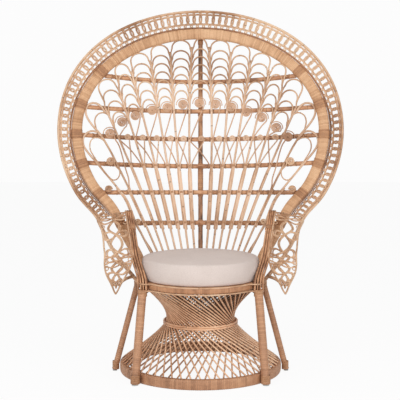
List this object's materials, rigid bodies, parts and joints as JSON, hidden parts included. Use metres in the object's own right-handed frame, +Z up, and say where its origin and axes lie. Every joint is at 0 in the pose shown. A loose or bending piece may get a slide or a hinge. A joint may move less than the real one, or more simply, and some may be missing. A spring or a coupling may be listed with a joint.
{
  "type": "peacock chair",
  "caption": "High round-backed rattan chair with a fan of ribs and looped canes in a hoop, lace arms, an hourglass woven base and a loose round seat cushion.",
  "frame": {"origin": "on the floor, under the middle of the chair's outline seen from above", "axes": "+Z up, +X to the right seen from the front, the sitter faces -Y"},
  "size_m": [1.1388, 0.7784, 1.3942],
  "materials": {
    "honey_cane": "satin lacquered peeled rattan cane, honey tan",
    "wrapped_cane": "flat cane strip wrapped round a pole, satin",
    "grey_cane": "unpeeled brown-grey rattan pole with nodes",
    "canvas": "plain matt beige canvas",
    "glide": "plain grey moulded plastic"
  },
  "bodies": {
    "frame": {"arches_centre": "honey_cane", "arches_left_1": "honey_cane", "arches_left_2": "honey_cane", "arches_left_3": "honey_cane", "arches_left_4": "honey_cane", "arches_left_5": "honey_cane", "arches_left_6": "honey_cane", "arches_right_1": "honey_cane", "arches_right_2": "honey_cane", "arches_right_3": "honey_cane", "arches_right_4": "honey_cane", "arches_right_5": "honey_cane", "arches_right_6": "honey_cane", "arm_lace_left": "honey_cane", "arm_lace_right": "honey_cane", "arm_post_left": "honey_cane", "arm_post_right": "honey_cane", "base_ring": "wrapped_cane", "base_weave_inner": "honey_cane", "base_weave_outer": "honey_cane", "border_lace": "honey_cane", "border_rim": "honey_cane", "centre_pole": "grey_cane", "front_glide_left": "glide", "front_glide_right": "glide", "front_leg_left": "wrapped_cane", "front_leg_right": "wrapped_cane", "hoop": "wrapped_cane", "hoop_edge_cane": "honey_cane", "rail_1": "wrapped_cane", "rail_2": "wrapped_cane", "rail_3": "wrapped_cane", "rail_4": "wrapped_cane", "rail_5": "wrapped_cane", "rail_6": "wrapped_cane", "rib_left_1": "honey_cane", "rib_left_2": "honey_cane", "rib_left_3": "honey_cane", "rib_left_4": "honey_cane", "rib_left_5": "honey_cane", "rib_left_6": "honey_cane", "rib_left_7": "honey_cane", "rib_left_8": "honey_cane", "rib_right_1": "honey_cane", "rib_right_2": "honey_cane", "rib_right_3": "honey_cane", "rib_right_4": "honey_cane", "rib_right_5": "honey_cane", "rib_right_6": "honey_cane", "rib_right_7": "honey_cane", "rib_right_8": "honey_cane", "seat_deck": "honey_cane", "seat_ring": "wrapped_cane", "seat_trim_cane": "honey_cane", "side_glide_left": "glide", "side_glide_right": "glide", "side_leg_left": "wrapped_cane", "side_leg_right": "wrapped_cane", "waist_ring": "honey_cane"},
    "cushion": {"cushion": "canvas"}
  },
  "joints": [
    {"name": "cushion_lift", "type": "slide", "parent": "frame", "child": "cushion", "axis": [0, 0, 1], "range_m": [0, 0.15]}
  ]
}
